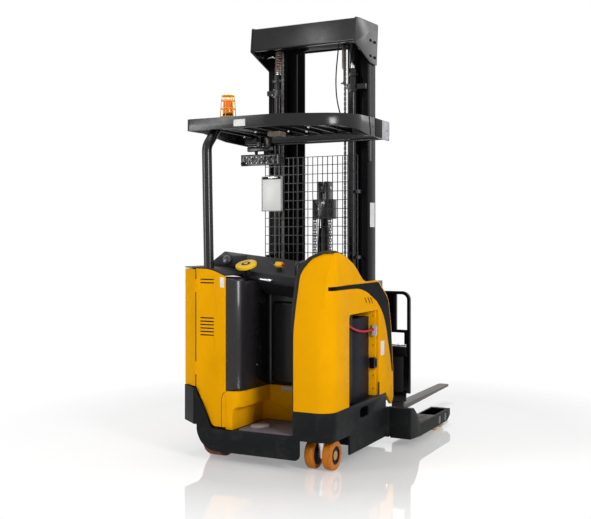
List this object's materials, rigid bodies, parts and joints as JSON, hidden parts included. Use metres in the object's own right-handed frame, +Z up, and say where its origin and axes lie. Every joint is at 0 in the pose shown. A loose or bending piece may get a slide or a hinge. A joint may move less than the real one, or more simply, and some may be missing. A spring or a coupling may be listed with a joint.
{
  "type": "stand-up reach truck",
  "caption": "Stand-up reach truck: rear platform, three-stage mast, scissor reach, tilting forks and outriggers; battery in place.",
  "frame": {"origin": "on the floor, under the middle of the overall length and width", "axes": "+X forward along the forks, +Y to the truck's left, +Z up"},
  "size_m": [2.954, 1.6, 3.2282],
  "materials": {
    "black_paint": "satin black paint",
    "yellow_paint": "satin yellow paint",
    "black_plastic": "glossy moulded black",
    "grey_mat": "ribbed grey rubber",
    "yellow_plastic": "glossy yellow",
    "steel": "bright steel",
    "dark_steel": "oiled dark steel",
    "battery_steel": "dark slate paint",
    "grey_plastic": "matt grey",
    "red_cable": "red cable cover",
    "orange_tyre": "orange polyurethane",
    "red_tyre": "dark orange polyurethane",
    "cream_tyre": "tan polyurethane",
    "amber_lens": "amber lens",
    "yellow_wire": "yellow wire",
    "paper": "grey holder"
  },
  "bodies": {
    "chassis": {"base_frame": "black_paint", "outrigger_left": "black_paint", "outrigger_right": "black_paint", "platform_floor": "grey_mat", "drive_cabinet": "yellow_paint", "cabinet_top_cover": "black_paint", "drive_motor": "dark_steel", "kick_panel": "yellow_paint", "compartment_wall": "black_plastic", "console": "black_plastic", "display_pod": "black_plastic", "steering_disc": "yellow_plastic", "control_handle": "yellow_plastic", "grab_handle": "steel", "pod_panel": "yellow_paint", "pod_pad": "black_plastic", "battery": "battery_steel", "battery_bay_panel": "battery_steel", "battery_retainer": "black_paint", "battery_connector": "grey_plastic", "battery_cable": "red_cable", "battery_cover": "black_paint", "front_cover": "black_paint", "left_panel": "yellow_paint", "overhead_guard": "black_paint", "guard_post": "black_paint", "guard_brackets": "black_paint", "beacon": "amber_lens", "beacon_cage": "yellow_wire", "accessory_bracket": "black_paint", "document_holder": "paper", "mesh_screen": "black_paint", "outer_mast": "black_paint", "mast_crosshead": "black_paint", "lift_cylinders": "black_paint", "mast_hose": "black_paint"},
    "cabinet_door": {"cabinet_side_door": "yellow_paint"},
    "drive_unit": {"drive_unit": "dark_steel"},
    "drive_wheel": {"drive_wheel": "red_tyre"},
    "caster_bracket": {"caster_bracket": "dark_steel"},
    "caster_wheels": {"caster_wheels": "orange_tyre"},
    "load_wheel_left_rear": {"load_wheel_left_rear": "cream_tyre"},
    "load_wheel_left_front": {"load_wheel_left_front": "cream_tyre"},
    "load_wheel_right_rear": {"load_wheel_right_rear": "cream_tyre"},
    "load_wheel_right_front": {"load_wheel_right_front": "cream_tyre"},
    "middle_mast": {"middle_mast": "black_paint", "lift_rods": "steel"},
    "inner_mast": {"inner_mast": "black_paint", "free_lift_cylinder": "black_paint"},
    "free_lift_head": {"free_lift_head": "black_paint"},
    "lift_carriage": {"lift_carriage": "black_paint"},
    "reach_arms_inner": {"reach_arms_inner": "black_paint"},
    "reach_arms_outer": {"reach_arms_outer": "black_paint"},
    "reach_carriage": {"reach_carriage": "black_paint"},
    "fork_carriage": {"fork_carriage": "black_paint", "forks": "black_paint", "load_backrest": "black_paint"}
  },
  "joints": [
    {"name": "cabinet_door_hinge", "type": "hinge", "parent": "chassis", "child": "cabinet_door", "pos_m": [-1.455, 0.452, 0.9], "axis": [0, 0, 1], "range_deg": [0, 95]},
    {"name": "drive_steer", "type": "hinge", "parent": "chassis", "child": "drive_unit", "pos_m": [-1.277, 0.346, 0.386], "axis": [0, 0, 1], "range_deg": [-90, 90]},
    {"name": "drive_wheel_spin", "type": "hinge", "parent": "drive_unit", "child": "drive_wheel", "pos_m": [-1.277, 0.346, 0.165], "axis": [0, 1, 0], "continuous": true},
    {"name": "caster_swivel", "type": "hinge", "parent": "chassis", "child": "caster_bracket", "pos_m": [-1.298, -0.486, 0.28], "axis": [0, 0, 1], "continuous": true},
    {"name": "caster_wheel_spin", "type": "hinge", "parent": "caster_bracket", "child": "caster_wheels", "pos_m": [-1.328, -0.486, 0.1015], "axis": [0, 1, 0], "continuous": true},
    {"name": "load_wheel_left_rear_spin", "type": "hinge", "parent": "chassis", "child": "load_wheel_left_rear", "pos_m": [0.225, 0.7185, 0.065], "axis": [0, 1, 0], "continuous": true},
    {"name": "load_wheel_left_front_spin", "type": "hinge", "parent": "chassis", "child": "load_wheel_left_front", "pos_m": [0.373, 0.7185, 0.065], "axis": [0, 1, 0], "continuous": true},
    {"name": "load_wheel_right_rear_spin", "type": "hinge", "parent": "chassis", "child": "load_wheel_right_rear", "pos_m": [0.225, -0.7185, 0.065], "axis": [0, 1, 0], "continuous": true},
    {"name": "load_wheel_right_front_spin", "type": "hinge", "parent": "chassis", "child": "load_wheel_right_front", "pos_m": [0.373, -0.7185, 0.065], "axis": [0, 1, 0], "continuous": true},
    {"name": "mast_lift", "type": "slide", "parent": "chassis", "child": "middle_mast", "axis": [0, 0, 1], "range_m": [0, 2.45]},
    {"name": "inner_lift", "type": "slide", "parent": "middle_mast", "child": "inner_mast", "axis": [0, 0, 1], "range_m": [0, 2.45]},
    {"name": "carriage_lift", "type": "slide", "parent": "inner_mast", "child": "lift_carriage", "axis": [0, 0, 1], "range_m": [-0.13, 2.1]},
    {"name": "free_lift_ram", "type": "slide", "parent": "inner_mast", "child": "free_lift_head", "axis": [0, 0, 1], "range_m": [-0.065, 1.05]},
    {"name": "reach", "type": "hinge", "parent": "lift_carriage", "child": "reach_arms_inner", "pos_m": [-0.077, 0, 0.235], "axis": [0, 1, 0], "range_deg": [0, 54.28]},
    {"name": "reach_cross", "type": "hinge", "parent": "reach_arms_inner", "child": "reach_arms_outer", "pos_m": [0.0055, 0, 0.64682], "axis": [0, 1, 0], "range_deg": [-108.55, 0]},
    {"name": "reach_level", "type": "hinge", "parent": "reach_arms_outer", "child": "reach_carriage", "pos_m": [0.088, 0, 0.235], "axis": [0, 1, 0], "range_deg": [0, 54.28]},
    {"name": "fork_tilt", "type": "hinge", "parent": "reach_carriage", "child": "fork_carriage", "pos_m": [0.171, 0, 0.625], "axis": [0, -1, 0], "range_deg": [-3, 4]}
  ],
  "couplings": [
    {"joint": "inner_lift", "follows": "mast_lift", "ratio": 1},
    {"joint": "free_lift_ram", "follows": "carriage_lift", "ratio": 0.5},
    {"joint": "reach_cross", "follows": "reach", "ratio": -2},
    {"joint": "reach_level", "follows": "reach", "ratio": 1}
  ]
}
